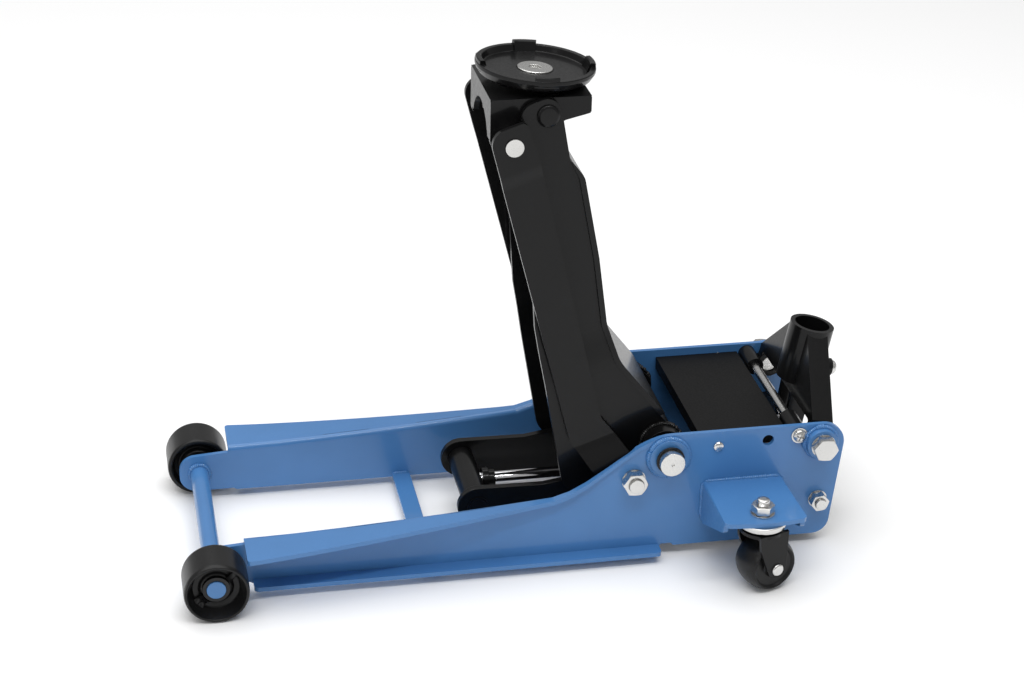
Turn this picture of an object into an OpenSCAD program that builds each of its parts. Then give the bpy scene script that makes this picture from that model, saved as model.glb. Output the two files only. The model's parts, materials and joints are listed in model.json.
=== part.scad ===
// Low-profile hydraulic trolley jack, shown raised.
// X runs from the front wheels (-X) to the handle socket (+X), Z is up and the
// wheels stand on z = 0. The origin is on the floor, under the middle of the jack.
// "Near" pieces lie on the -Y side, "far" pieces on the +Y side.

/* [Front wheels] */
// Radius of the front wheels
wheel_r = 34; // [30:1:40]
// Width of the front wheels
wheel_w = 46; // [36:1:50]
// Radius of the front axle bar
axle_r = 10; // [8:0.5:12]
// Depth of the axle end inside the wheel's outer face
axle_recess = 9; // [6:1:12]

/* [Side frames] */
// Distance from the centre plane to the outer face of each side frame
frame_half = 103; // [98:1:125]
// Thickness of the side frame plates
frame_t = 5; // [4:0.5:6]
// Height of the flat rear top edge of the side frames
rear_top_z = 148; // [140:1:180]
// Height of the top flange at its front end
flange_z = 65; // [60:1:72]
// Width of the top flange at its front end
flange_w = 47; // [35:1:50]
// Width of the bottom lip
lip_w = 18; // [12:1:24]
// Height of the underside of the side frames
base_z = 10; // [8:1:14]
// Distance from the front axle to the main pivot
pivot_x = 486.5; // [440:1:600]
// Height of the main pivot
pivot_z = 122.5; // [118:0.5:140]
// Distance from the main pivot to the rear edge of the side frames
rear_len = 198; // [185:1:240]
// Distance from the front axle to the cross strap's front edge
strap_x = 218; // [120:1:230]
// Width of the cross strap
strap_w = 20; // [16:1:30]

/* [Lifting arm] */
// Length of the arm between its two pivots
arm_len = 400; // [360:1:480]
// Angle of the raised arm above the rearward horizontal
arm_a = 109.3; // [100:0.1:115]
// Travel of the arm from raised to lowered, in degrees
arm_travel = 80; // [60:1:80]
// Thickness of the arm's side walls
wall_t = 6; // [4:0.5:7]
// Distance from the centre plane to the inside of the walls at the arm's tip
tip_in = 56; // [56:0.5:58]
// Distance from the centre plane to the inside of the walls at the arm's base
base_in = 63; // [62:0.5:64]
// Radius of the main pivot pin
pivot_r = 13.5; // [11:0.5:15]
// Radius of the pin at the arm's tip
tip_pin_r = 9; // [7:0.5:10]
// Thickness of the arm's back cover
back_t = 6; // [4:0.5:7]

/* [Levelling links] */
// Horizontal distance from the link pivots forward of the arm pivots
link_dx = 37.5; // [34:0.5:42]
// Height of the link pivots below the arm pivots
link_dz = 24.6; // [20:0.5:28]
// Width of the levelling links
link_w = 40; // [32:1:42]
// Thickness of the levelling links
link_t = 6; // [4:0.5:7]
// Radius of the link pins at the saddle carrier
link_pin_r = 9; // [7:0.5:10]
// Radius of the link bolts at the frame
link_bolt_r = 8; // [6:0.5:9]

/* [Saddle] */
// Radius of the saddle's rim
saddle_r = 62; // [55:1:66]
// Height of the saddle from its underside to the rim
saddle_h = 14; // [12:0.5:18]
// Height of the tabs above the rim
tab_h = 4; // [2:0.5:6]
// Half of the carrier's width
carrier_half = 55; // [50:0.5:55]
// Thickness of the carrier's plates
carrier_t = 6; // [5:0.5:7]

// Lean of the loose saddle toward the rear, in degrees
saddle_tilt = 4.2; // [0:0.1:5]

/* [Hydraulic ram] */
// Radius of the crank, from the main pivot to the crank pins
crank_r = 72; // [68:1:76]
// Direction of the crank when the arm is raised, in degrees
crank_a = 230; // [228:1:232]
// Radius of the crank pins
crank_pin_r = 8; // [6:0.5:9]
// Height of the ram's axis
ram_z = 54; // [52:1:58]
// Distance from the front axle to the crosshead bar, ram out
crosshead_x = 289; // [280:1:300]
// Radius of the ram rod
ram_r = 8; // [6:0.5:12]
// Radius of the crosshead bar
crosshead_r = 14.5; // [12:0.5:16]
// Outer radius of the cylinder tube
cylinder_r = 24; // [21:0.5:26]
// Bore radius of the cylinder tube
bore_r = 18; // [15:0.5:19]
// Outer radius of the oil reservoir
reservoir_r = 34; // [30:0.5:38]

/* [Handle socket] */
// Distance from the front axle to the socket's pivot
handle_x = 655; // [640:1:665]
// Height of the socket's pivot
handle_z = 127; // [124:0.5:136]
// Lean of the socket toward the rear, in degrees
handle_lean = 10.7; // [0:0.1:15]
// Distance from the pivot to the top of the socket
socket_len = 92; // [75:1:120]
// Bore radius of the socket
socket_bore_r = 19.5; // [12:0.5:20]
// Outer radius of the socket
socket_r = 24.5; // [24:0.5:27]
// Stroke of the handle socket, in degrees
handle_stroke = 45; // [30:1:45]
// Length of the pump lever, from pivot to roller
pump_lever = 30; // [26:0.5:32]

/* [Rear casters] */
// Radius of the caster wheels
caster_r = 30; // [26:0.5:32]
// Width of the caster wheels
caster_w = 36; // [26:1:38]
// Trail of the caster wheel behind its kingpin
caster_trail = 8; // [8:0.5:20]
// How far each caster is swivelled, in degrees
caster_turn = 18; // [-30:1:30]
// Distance from the front axle to the kingpins
kingpin_x = 570; // [560:1:580]
// Distance from the side frame to the kingpin
kingpin_out = 76; // [70:1:90]
// Width of the caster bracket
bracket_w = 89; // [80:1:100]
// Depth of the caster bracket, out from the side frame
bracket_d = 96; // [90:1:115]
// Height of the top of the caster bracket
bracket_z = 89; // [86:0.5:96]

/* [Clearances] */
// Radial clearance of running fits
run_gap = 0.1; // [0.05:0.01:0.2]
// Gap between pieces that are bolted or welded together
seat_gap = 0.05; // [0.02:0.01:0.1]
// Side gap between pieces that move past each other
side_gap = 1; // [0.5:0.1:1.5]

/* [Hidden] */
$fn = 64;

// Finishes
blue = [0.16, 0.34, 0.62];
black = [0.07, 0.07, 0.075];
zinc = [0.8, 0.81, 0.82];
chrome = [0.88, 0.89, 0.9];
poly = [0.1, 0.1, 0.105];

// Planes, as distances from the centre plane
frame_in = frame_half - frame_t;
wheel_in = frame_half + 9;
wheel_out = wheel_in + wheel_w;
axle_end = wheel_out - axle_recess;
tip_out = tip_in + wall_t;
base_out = base_in + wall_t;
link_mid = base_out + 2 * side_gap;
link_top = link_mid + 4;
link_low = frame_in - 5 - link_t;
plate_in = 50;
plate_t = 8;
cheek_in = frame_in - 14;
cheek_out = frame_in - 3;

// Pivots in the side view, as [x, z]
main_p = [pivot_x, pivot_z];
tip_p = main_p + arm_len * [cos(arm_a), sin(arm_a)];
link_d = [link_dx, link_dz];
link_low_p = main_p - link_d;
link_top_p = tip_p - link_d;
crank_p = main_p + crank_r * [cos(crank_a), sin(crank_a)];
handle_p = [handle_x, handle_z];
lean_d = [sin(handle_lean), cos(handle_lean)];

// Side frame outline
rear_x = pivot_x + rear_len;
lug_r = 22;
flange_x0 = wheel_r - 1;
lip_x0 = wheel_r + 7;
lip_x1 = pivot_x - 6.5;
rise_x0 = pivot_x - 134.5;
rise_x1 = pivot_x + 3.5;
rise_z0 = flange_z + 18;
hole_x = pivot_x + 109.7;
hole_z = rear_top_z - 15;
hole_r = 6.3;
cover_screw_p = [pivot_x + 54.5, rear_top_z - 17.5];
tie_p = [handle_x - 24.5, rear_top_z - 11.5];
tie_r = 10;
tie_rod_r = 5;
tie_mid = frame_in - 36;
base_bolt_p = [handle_x + 2, 56];
base_bolt_r = 6;

// Hydraulic unit
ram_travel = crank_r * (cos(crank_a + arm_travel) - cos(crank_a));
collar_x0 = crosshead_x + crosshead_r + seat_gap;
collar_l = 14;
gland_x = collar_x0 + collar_l + ram_travel + 3;
gland_l = 12;
block_x0 = handle_x - 59;
block_x1 = handle_x + 13;
block_z0 = 28;
block_z1 = 84;
piston_x = gland_x + gland_l + 10;
piston_l = 15;

// Pump, below the handle socket's pivot
roller_r = 8;
roller_a = 263.3;
roller_p = handle_p + pump_lever * [cos(roller_a), sin(roller_a)];
pump_travel = -pump_lever * sin(roller_a) * handle_stroke * PI / 180;
cap_t = 4;
cap_x = roller_p[0] - roller_r - 0.3;
boss_x1 = cap_x - cap_t - pump_travel - 7;
pump_z = roller_p[1] + 3;
plunger_r = 6;

// Saddle and carrier
carrier_top = tip_p[1] + 16.6;
carrier_x0 = link_top_p[0] - 20;
carrier_x1 = tip_p[0] + 45.8;
saddle_x = tip_p[0] - 2.2;
saddle_z = carrier_top + 1.5 * side_gap + (carrier_x1 - saddle_x) * tan(saddle_tilt);
floor_t = 7.4;

// Casters
kingpin_y = frame_half + kingpin_out;
bracket_t = 5;
bearing_z1 = bracket_z - bracket_t - seat_gap;
bearing_h = 9.5;
fork_z1 = bearing_z1 - bearing_h - 0.3;
fork_t = 4;
leg_in = caster_w / 2 + side_gap / 2;

// The rearmost point is the end of the release valve's key
key_x1 = rear_x + 25;
mid_x = (key_x1 - wheel_r) / 2;

// ---------- helpers ----------
function unit(v) = v / norm(v);
function corner(a, b, c, r, n) =
  let (u = unit(a - b), w = unit(c - b), half = acos(max(-1, min(1, u * w))) / 2,
       mid = b + unit(u + w) * r / sin(half), p0 = b + u * r / tan(half),
       a0 = atan2(p0[1] - mid[1], p0[0] - mid[0]),
       turn = (u[0] * w[1] - u[1] * w[0] > 0 ? -1 : 1) * (180 - 2 * half))
  [for (i = [0:n]) mid + r * [cos(a0 + turn * i / n), sin(a0 + turn * i / n)]];
// An outline whose points are [x, y, corner radius]
function rounded(p) =
  let (n = len(p))
  [for (i = [0:n - 1])
    let (a = p[(i + n - 1) % n], b = p[i], c = p[(i + 1) % n])
    each (b[2] == 0 ? [[b[0], b[1]]]
      : corner([a[0], a[1]], [b[0], b[1]], [c[0], c[1]], b[2], b[2] > 12 ? 10 : 5))];
function smooth(t) = t <= 0 ? 0 : t >= 1 ? 1 : t * t * (3 - 2 * t);
// Height of the side frame's top edge at a distance from the front axle
function edge_z(x) = x < rise_x0
  ? flange_z + (rise_z0 - flange_z) * pow(max(0, x - flange_x0) / (rise_x0 - flange_x0), 1.5)
  : rise_z0 + (rear_top_z - rise_z0) * smooth((x - rise_x0) / (rise_x1 - rise_x0));

module place() translate([-mid_x, 0, 0]) children();
// Side-view outline made into a slab between two distances on the near side
module near_slab(y0, y1) translate([0, -y0, 0]) rotate([90, 0, 0]) linear_extrude(y1 - y0) children();
module far_side() mirror([0, 1, 0]) children();
module both_sides() {
  children();
  far_side() children();
}
// A rod across the jack on the near side, at a side-view point
module near_rod(p, r, y0, y1) translate([p[0], -y0, p[1]]) rotate([90, 0, 0]) cylinder(r = r, h = y1 - y0);
module cross_rod(p, r, half) near_rod(p, r, -half, half);
module near_ring(p, r0, r1, y0, y1) difference() {
  near_rod(p, r1, y0, y1);
  near_rod(p, r0, y0 - 1, y1 + 1);
}
module near_hex(p, flats, y0, y1, turn = 0) translate([p[0], -y0, p[1]]) rotate([90, turn, 0])
  cylinder(d = flats / cos(30), h = y1 - y0, $fn = 6);
// The arm's own frame: local X runs along the arm from the main pivot, local Z to its front side
module arm_frame() translate([main_p[0], 0, main_p[1]]) rotate([0, -arm_a, 0]) children();
module link_frame() translate([link_low_p[0], 0, link_low_p[1]]) rotate([0, -arm_a, 0]) children();
// A pressed sheet seen from above its edge: [length along the arm, distance from centre] of its inside
function bend(u0, y0, u1, y1) = [for (i = [0:8]) [u0 + (u1 - u0) * i / 8, y0 + (y1 - y0) * smooth(i / 8)]];
module pressed_sheet(inside, t) {
  n = len(inside);
  outside = [for (i = [n - 1:-1:0]) [inside[i][0], inside[i][1] + t]];
  translate([0, 0, -200]) mirror([0, 1, 0]) linear_extrude(400) polygon(concat(inside, outside));
}

// ---------- side frames ----------
module frame_outline() {
  rise = [for (i = [1:19]) let (x = rise_x1 + (rise_x0 - rise_x1) * i / 20) [x, edge_z(x), 0]];
  front = [for (i = [0:5]) let (x = rise_x0 + (flange_x0 - rise_x0) * i / 6) [x, edge_z(x), 0]];
  polygon(rounded(concat(
    [[-lug_r, wheel_r - lug_r, 19], [lip_x0 - 3, wheel_r - lug_r, 0], [lip_x0, base_z, 0],
     [lip_x1, base_z, 0], [lip_x1 + 3, base_z + frame_t, 0], [lip_x1 + 14, base_z + frame_t, 0],
     [lip_x1 + 17, base_z + 2, 0], [rear_x - 14, base_z + 2, 18], [rear_x, rear_top_z, 24],
     [rise_x1, rear_top_z, 0]],
    rise, front,
    [[flange_x0, flange_z, 0], [flange_x0, wheel_r + lug_r + 2, 0], [-lug_r, wheel_r + lug_r - 2, 18]])));
}
module side_frame() {
  x_end = pivot_x - 16;
  n = 24;
  xs = [for (i = [0:n]) flange_x0 + (x_end - flange_x0) * i / n];
  difference() {
    union() {
      near_slab(frame_in, frame_half) frame_outline();
      intersection() {
        near_slab(frame_in, frame_half + flange_w + 1)
          polygon(concat([for (x = xs) [x, edge_z(x)]], [for (i = [n:-1:0]) [xs[i], edge_z(xs[i]) - frame_t]]));
        mirror([0, 1, 0]) linear_extrude(rear_top_z + 10)
          polygon(rounded([[flange_x0, frame_in, 0], [flange_x0, frame_half + flange_w, 4],
            [rise_x0 - 5, frame_half + 9, 120], [x_end, frame_half + 0.5, 0], [x_end, frame_in, 0]]));
      }
      translate([0, 0, base_z]) mirror([0, 1, 0]) linear_extrude(frame_t)
        polygon(rounded([[lip_x0, frame_in, 0], [lip_x0, frame_half + lip_w, 5],
          [lip_x1, frame_half + lip_w, 5], [lip_x1, frame_in, 0]]));
    }
    near_rod([0, wheel_r], axle_r + seat_gap, frame_in - 1, frame_half + 1);
    near_rod(main_p, pivot_r + seat_gap, frame_in - 1, frame_half + 1);
    near_rod(link_low_p, link_bolt_r + seat_gap, frame_in - 1, frame_half + 1);
    near_rod(handle_p, 9 + seat_gap, frame_in - 1, frame_half + 1);
    near_rod(cover_screw_p, 3 + seat_gap, frame_in - 1, frame_half + 1);
    near_rod([hole_x, hole_z], hole_r, frame_in - 1, frame_half + 1);
    near_rod(tie_p, 4 + seat_gap, frame_in - 1, frame_half + 1);
    near_rod(base_bolt_p, base_bolt_r + seat_gap, frame_in - 1, frame_half + 1);
  }
}
module side_frame_near() color(blue) place() side_frame();
module side_frame_far() color(blue) place() far_side() side_frame();

module pivot_bosses() color(blue) place() both_sides() {
  near_ring(main_p, pivot_r + seat_gap, 21.5, frame_half + seat_gap, frame_half + 5);
  near_ring(handle_p, 9 + seat_gap, 17, frame_half + seat_gap, frame_half + 10);
}

module front_axle() color(blue) place() cross_rod([0, wheel_r], axle_r, axle_end);
module axle_spacers() color(black) place() both_sides()
  near_ring([0, wheel_r], axle_r + seat_gap, 16, frame_half + seat_gap, wheel_in - side_gap / 2);
module axle_retainers() color(black) place() both_sides()
  near_ring([0, wheel_r], axle_r + seat_gap, 14.5, axle_end - 4.5, axle_end - 1.5);
module cross_strap() color(blue) place()
  translate([strap_x, -frame_in + seat_gap, base_z]) cube([strap_w, 2 * (frame_in - seat_gap), frame_t]);

// ---------- caster brackets ----------
module caster_bracket() {
  x0 = kingpin_x - bracket_w / 2;
  y0 = frame_half + seat_gap;
  y1 = frame_half + bracket_d;
  difference() {
    union() {
      translate([0, 0, bracket_z - bracket_t]) mirror([0, 1, 0]) linear_extrude(bracket_t)
        polygon(rounded([[x0, y0, 0], [x0, y1 - 3, 7], [x0 + bracket_w / 2, y1 + 2, 80],
          [x0 + bracket_w, y1 - 3, 7], [x0 + bracket_w, y0, 0]]));
      for (x = [x0, x0 + bracket_w - bracket_t]) translate([x, 0, 0]) rotate([90, 0, 90])
        mirror([1, 0, 0]) linear_extrude(bracket_t)
          polygon(rounded([[y0, bracket_z, 0], [y0, bracket_z - 46, 4], [y0 + 12, bracket_z - 46, 12],
            [y1 - 12, bracket_z - 15, 6], [y1 - 9, bracket_z, 0]]));
    }
    translate([kingpin_x, -kingpin_y, bracket_z - bracket_t - 1]) cylinder(r = 7 + seat_gap, h = bracket_t + 2);
  }
}
module caster_bracket_near() color(blue) place() caster_bracket();
module caster_bracket_far() color(blue) place() far_side() caster_bracket();

// ---------- pins, bolts and screws of the frame ----------
pin_end = frame_half + 19;
module main_pivot_pin() color(zinc) place() difference() {
  cross_rod(main_p, pivot_r, pin_end);
  both_sides() near_ring(main_p, pivot_r - 1.5, pivot_r + 1, frame_half + 7, frame_half + 9.6);
  both_sides() near_rod(main_p, 1.5, pin_end - 1.5, pin_end + 1);
}
module pivot_circlips() color(black) place() both_sides() difference() {
  near_ring(main_p, pivot_r - 1.4, pivot_r + 2, frame_half + 7.1, frame_half + 9.5);
  translate([main_p[0] + pivot_r - 6, -frame_half - 11, main_p[1] - 2]) cube([12, 6, 4]);
}
module link_bolts() color(zinc) place() both_sides() {
  near_rod(link_low_p, link_bolt_r, link_low - 0.4, frame_half + 17);
  near_rod(link_low_p, 13, link_low - 7, link_low - 0.4);
  near_ring(link_low_p, link_bolt_r - 0.5, 13, link_low + link_t + 0.3, frame_in - seat_gap);
}
module link_nuts() color(zinc) place() both_sides() {
  near_ring(link_low_p, link_bolt_r + seat_gap, 13, frame_half + seat_gap, frame_half + 2);
  difference() {
    near_hex(link_low_p, 24, frame_half + 2 + seat_gap, frame_half + 14, 12);
    near_rod(link_low_p, link_bolt_r + seat_gap, frame_half, frame_half + 16);
  }
}
module handle_bolts() color(zinc) place() both_sides() {
  near_rod(handle_p, 9, cheek_in + 1, frame_half + 12);
  near_ring(handle_p, 8, 13.5, frame_half + 10 + seat_gap, frame_half + 12);
  near_hex(handle_p, 24, frame_half + 12, frame_half + 23, 20);
}
module base_bolts() color(zinc) place() both_sides()
  near_rod(base_bolt_p, base_bolt_r, frame_in - 22, frame_half + 16);
module base_nuts() color(zinc) place() both_sides() {
  near_ring(base_bolt_p, base_bolt_r + seat_gap, 10.5, frame_half + seat_gap, frame_half + 2);
  difference() {
    near_hex(base_bolt_p, 18, frame_half + 2 + seat_gap, frame_half + 13, 5);
    near_rod(base_bolt_p, base_bolt_r + seat_gap, frame_half, frame_half + 15);
  }
}
module cover_screws() color(zinc) place() both_sides() {
  near_rod(cover_screw_p, 3, frame_in - 8, frame_half + 1);
  translate([cover_screw_p[0], -frame_half - seat_gap, cover_screw_p[1]]) rotate([90, 0, 0])
    rotate_extrude()
      polygon(concat([[0, 0], [5.6, 0]], [for (a = [0:15:90]) [5.6 * cos(a), 1 + 2.4 * sin(a)]]));
}
module tie_screws() color(zinc) place() both_sides() {
  near_rod(tie_p, 4, frame_in - 16, frame_half + 3);
  near_ring(tie_p, 3.5, 9, frame_half + seat_gap, frame_half + 1.8);
  difference() {
    translate([tie_p[0], -frame_half - 1.8, tie_p[1]]) rotate([90, 0, 0])
      rotate_extrude()
        polygon(concat([[0, 0], [7.2, 0]], [for (a = [0:15:90]) [7.2 * cos(a), 1.4 + 3 * sin(a)]]));
    for (a = [20, 110]) translate([tie_p[0], -frame_half - 6, tie_p[1]]) rotate([0, a, 0])
      cube([9, 5, 1.6], center = true);
  }
}
module tie_bar() color(black) place() both_sides() difference() {
  near_rod(tie_p, tie_r, tie_mid, frame_in - seat_gap);
  near_rod(tie_p, 4 + seat_gap, frame_in - 17, frame_in + 1);
  near_rod(tie_p, tie_rod_r + seat_gap, tie_mid - 1, tie_mid + 12);
}
module tie_rod() color(zinc) place() cross_rod(tie_p, tie_rod_r, tie_mid + 11);

// ---------- top cover ----------
cover_z = rear_top_z - 8.5;
cover_x0 = pivot_x + 36.5;
cover_x1 = tie_p[0] - tie_r - 2;
cover_t = 2;
module top_cover() color(black) place() {
  half = frame_in - 0.5;
  difference() {
    union() {
      translate([cover_x0, -half, cover_z - cover_t]) cube([cover_x1 - cover_x0, 2 * half, cover_t]);
      translate([cover_x0, -half, cover_z - 14]) cube([cover_t, 2 * half, 14]);
      for (s = [-1, 1]) translate([cover_x0, s * (half - cover_t / 2) - cover_t / 2, cover_z - 20])
        cube([cover_x1 - cover_x0 - 30, cover_t, 20]);
    }
    cross_rod(cover_screw_p, 3 + seat_gap, frame_in);
    for (s = [-1, 1]) translate([cover_x0 - 1, s * half - 4, cover_z - 21]) cube([5, 8, 6]);
  }
}

// ---------- hydraulic unit ----------
module along_x(x0, x1, r) translate([x0, 0, ram_z]) rotate([0, 90, 0]) cylinder(r = r, h = x1 - x0);
module pump_block() color(black) place() difference() {
  union() {
    translate([block_x0, -frame_in + seat_gap, block_z0])
      cube([block_x1 - block_x0, 2 * (frame_in - seat_gap), block_z1 - block_z0]);
    translate([boss_x1 - 32, -17, block_z1 - 1]) cube([32, 34, pump_z + 13 - block_z1]);
    translate([block_x0 - 14, -17, ram_z + 10]) cube([20, 34, block_z1 - ram_z - 10]);
  }
  translate([boss_x1 - 28, 0, pump_z]) rotate([0, 90, 0]) cylinder(r = plunger_r + run_gap, h = 40);
  both_sides() near_rod(base_bolt_p, base_bolt_r + seat_gap, frame_in - 23, frame_in + 1);
  translate([block_x1 - 30, 0, valve_z]) rotate([0, 90, 0]) cylinder(r = 7 + run_gap, h = 40);
  translate([block_x0 - 30, 0, ram_z]) rotate([0, 90, 0]) cylinder(r = reservoir_r + seat_gap, h = 30);
  translate([block_x0 + 24, -40, block_z1 - 10]) cylinder(r = 6 + seat_gap, h = 12);
}
module cylinder_tube() color(black) place() difference() {
  along_x(gland_x + gland_l, block_x0 - seat_gap, cylinder_r);
  along_x(gland_x, block_x0 - 8, bore_r);
}
module gland_nut() color(zinc) place() difference() {
  translate([gland_x, 0, ram_z]) rotate([0, 90, 0])
    cylinder(d = 2 * cylinder_r - 2, h = gland_l - seat_gap, $fn = 6);
  along_x(gland_x - 1, gland_x + gland_l + 1, ram_r + run_gap);
}
module reservoir_tube() color(black) place() difference() {
  along_x(block_x0 - 100, block_x0 - seat_gap, reservoir_r);
  along_x(block_x0 - 96, block_x0 + 1, reservoir_r - 3);
  along_x(block_x0 - 101, block_x0 - 90, cylinder_r + seat_gap);
}
module filler_plug() color(zinc) place() translate([block_x0 + 24, -40, block_z1 - 9]) union() {
  cylinder(r = 6, h = 9 + seat_gap);
  translate([0, 0, 9 + seat_gap]) cylinder(d = 17, h = 6, $fn = 6);
}
// Release valve: a spindle in the block, slotted to take the key inside the handle
valve_z = 68;
valve_x1 = block_x1 + 10;
module release_valve() color(zinc) place() {
  translate([block_x1 - 24, 0, valve_z]) rotate([0, 90, 0]) cylinder(r = 7, h = valve_x1 - block_x1 + 24);
  difference() {
    translate([valve_x1, 0, valve_z]) rotate([0, 90, 0]) cylinder(r = 10, h = key_x1 - 6 - valve_x1);
    translate([key_x1 - 16, -2.5, valve_z - 12]) cube([12, 5, 24]);
  }
  translate([key_x1 - 15, 0, valve_z]) rotate([0, 90, 0]) cylinder(r = 5, h = 15);
}
module pump_plunger() color(chrome) place() {
  translate([boss_x1 - 4, 0, pump_z]) rotate([0, 90, 0]) cylinder(r = plunger_r, h = cap_x - boss_x1 + 3);
  translate([cap_x - cap_t, 0, pump_z]) rotate([0, 90, 0]) cylinder(r = 12, h = cap_t);
}
// Wire wound round an axis along X; points follow a helix with flattened ends
module spring(x0, x1, r, wire, turns, sides, steps) {
  n = turns * steps;
  pts = [for (i = [0:n], k = [0:sides - 1])
    let (a = 360 * i / steps, b = 360 * k / sides, q = r + wire * cos(b))
    [x0 + wire + (x1 - x0 - 2 * wire) * i / n + wire * sin(b), q * cos(a), q * sin(a)]];
  faces = concat([[for (k = [0:sides - 1]) k]],
    [for (i = [0:n - 1], k = [0:sides - 1])
      let (a = i * sides + k, b = i * sides + (k + 1) % sides) [a, a + sides, b + sides, b]],
    [[for (k = [sides - 1:-1:0]) n * sides + k]]);
  polyhedron(points = pts, faces = faces, convexity = 10);
}
module pump_spring() color(zinc) place() translate([0, 0, pump_z])
  spring(boss_x1 + 0.3, cap_x - cap_t - 0.3, plunger_r + 3, 1, 5, 6, 14);

// ---------- front wheels ----------
module front_wheel() translate([0, -wheel_in, wheel_r]) rotate([90, 0, 0]) rotate_extrude($fn = 96)
  polygon(rounded([[axle_r + run_gap, 6, 0], [17, 6, 0], [20, 12, 2], [wheel_r - 6, 10, 2],
    [wheel_r - 5, 0.5, 1], [wheel_r - 1, 0, 0.5], [wheel_r, 2.5, 1], [wheel_r, wheel_w - 2.5, 1],
    [wheel_r - 1, wheel_w, 0.5], [wheel_r - 5, wheel_w - 0.5, 1], [wheel_r - 7, wheel_w - 14, 2],
    [18, wheel_w - 16, 2], [16, wheel_w - axle_recess - 5, 1],
    [axle_r + run_gap, wheel_w - axle_recess - 5, 0]]));
module front_wheel_near() color(poly) place() front_wheel();
module front_wheel_far() color(poly) place() far_side() front_wheel();

// ---------- lifting arm ----------
// Back line of the walls and outer line of the back cover, as [along the arm, toward the front]
back_in = [[24, -11], [112, 19], [156, 19], [232, 4], [arm_len - 76, -9], [arm_len - 54, -6.5]];
// Where the walls flare out to the wide base
flare0 = 104;
flare1 = 160;
function back_bend(i, r) = i == 1 || i == 2 ? r : i == 4 ? r / 2 : 0;
module arm_outline() {
  polygon(rounded(concat(
    [[arm_len + 18, -14, 14], [arm_len + 18, 25, 16], [arm_len - 24, 32, 8], [181, 85.5, 30],
     [-10, 116.5, 28], [-54, 70, 20], [-30, -10, 24], [-2, -25, 16]],
    [for (i = [0:len(back_in) - 1]) [back_in[i][0], back_in[i][1], back_bend(i, 45)]],
    [[arm_len - 6, -14, 0]])));
}
// Crank pin in the arm's own frame
crank_u = (crank_p - main_p) * [cos(arm_a), sin(arm_a)];
crank_w = (crank_p - main_p) * [-sin(arm_a), cos(arm_a)];
module arm_wall() arm_frame() difference() {
  intersection() {
    near_slab(tip_in - 2, base_out + 2) arm_outline();
    pressed_sheet(concat([[-80, base_in]], bend(flare0, base_in, flare1, tip_in),
      [[arm_len + 40, tip_in]]), wall_t);
  }
  near_rod([0, 0], 18 + seat_gap, tip_in - 5, base_out + 5);
  near_rod([arm_len, 0], tip_pin_r + seat_gap, tip_in - 5, base_out + 5);
  near_rod([crank_u, crank_w], crank_pin_r + seat_gap, tip_in - 5, base_out + 5);
}
module arm_wall_near() color(black) place() arm_wall();
module arm_wall_far() color(black) place() far_side() arm_wall();
module arm_back() color(black) place() arm_frame() {
  n = len(back_in);
  start = back_in[0] + 0.1 * (back_in[1] - back_in[0]);
  line = [for (i = [0:n - 1]) i == 0 ? start : back_in[i]];
  outer = [for (i = [0:n - 1]) [line[i][0] - (i == n - 1 ? 1.5 : 0), line[i][1] - (i == n - 1 ? 1.5 : back_t),
    back_bend(i, 45)]];
  inner = [for (i = [n - 1:-1:0]) [line[i][0], line[i][1] - seat_gap, back_bend(i, 45)]];
  intersection() {
    near_slab(-80, 80) polygon(rounded(concat(outer, inner)));
    side = concat([[-20, base_out + 3]], bend(flare0, base_out + 3, flare1, tip_out + 3),
      [[arm_len, tip_out + 3]]);
    translate([0, 0, -200]) linear_extrude(400)
      polygon(concat(side, [for (i = [len(side) - 1:-1:0]) [side[i][0], -side[i][1]]]));
  }
}
module arm_sleeve() color(black) place() {
  difference() {
    cross_rod(main_p, 18, frame_in - 0.4);
    cross_rod(main_p, pivot_r + run_gap, frame_in + 1);
  }
  both_sides() near_ring(main_p, 17, 22, base_out + 0.1, frame_in - 12);
}
module crank_pins() color(zinc) place() both_sides() {
  near_rod(crank_p, crank_pin_r, plate_in - 2, base_out + 1);
  near_rod(crank_p, crank_pin_r + 4, plate_in + plate_t + side_gap, base_in - 0.1);
}
module arm_tip_pin() color(black) place() both_sides() {
  near_rod(tip_p, tip_pin_r, carrier_half - carrier_t - 4, tip_out + 1);
  near_rod(tip_p, tip_pin_r + 1, carrier_half - carrier_t - 4, carrier_half - carrier_t - 0.4);
   translate([tip_p[0], -tip_out - 0.1, tip_p[1]]) rotate([90, 0, 0]) rotate_extrude()
    polygon([[0, 0], [12, 0], [11.5, 2.2], [9, 3.6], [0, 4]]);
}

// ---------- levelling links ----------
elbow = [62, 29];
module link_outline() {
  half = link_w / 2;
  polygon(rounded([[-half, -half, half - 0.5], [-half, half, half - 0.5], [12, 35, 6],
    [elbow[0] - 6, elbow[1] + half, 22], [arm_len - 30, 4 + half, 20], [arm_len + half + 1, half, half - 3],
    [arm_len + half + 1, -half, 6], [arm_len - 20, -half, 20],
    [elbow[0] + 8, elbow[1] - half, 20], [28, -6, 10]]));
}
module level_link() link_frame() difference() {
  intersection() {
    near_slab(link_mid - 2, frame_half) link_outline();
    pressed_sheet(concat([[-60, link_low]], bend(18, link_low, 52, link_mid),
      bend(arm_len - 44, link_mid, arm_len - 26, link_top), [[arm_len + 60, link_top]]), link_t);
  }
  near_rod([0, 0], link_bolt_r + run_gap, link_mid - 5, frame_half + 5);
  near_rod([arm_len, 0], link_pin_r + run_gap, link_mid - 5, frame_half + 5);
}
module level_link_near() color(black) place() level_link();
module level_link_far() color(black) place() far_side() level_link();

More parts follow.
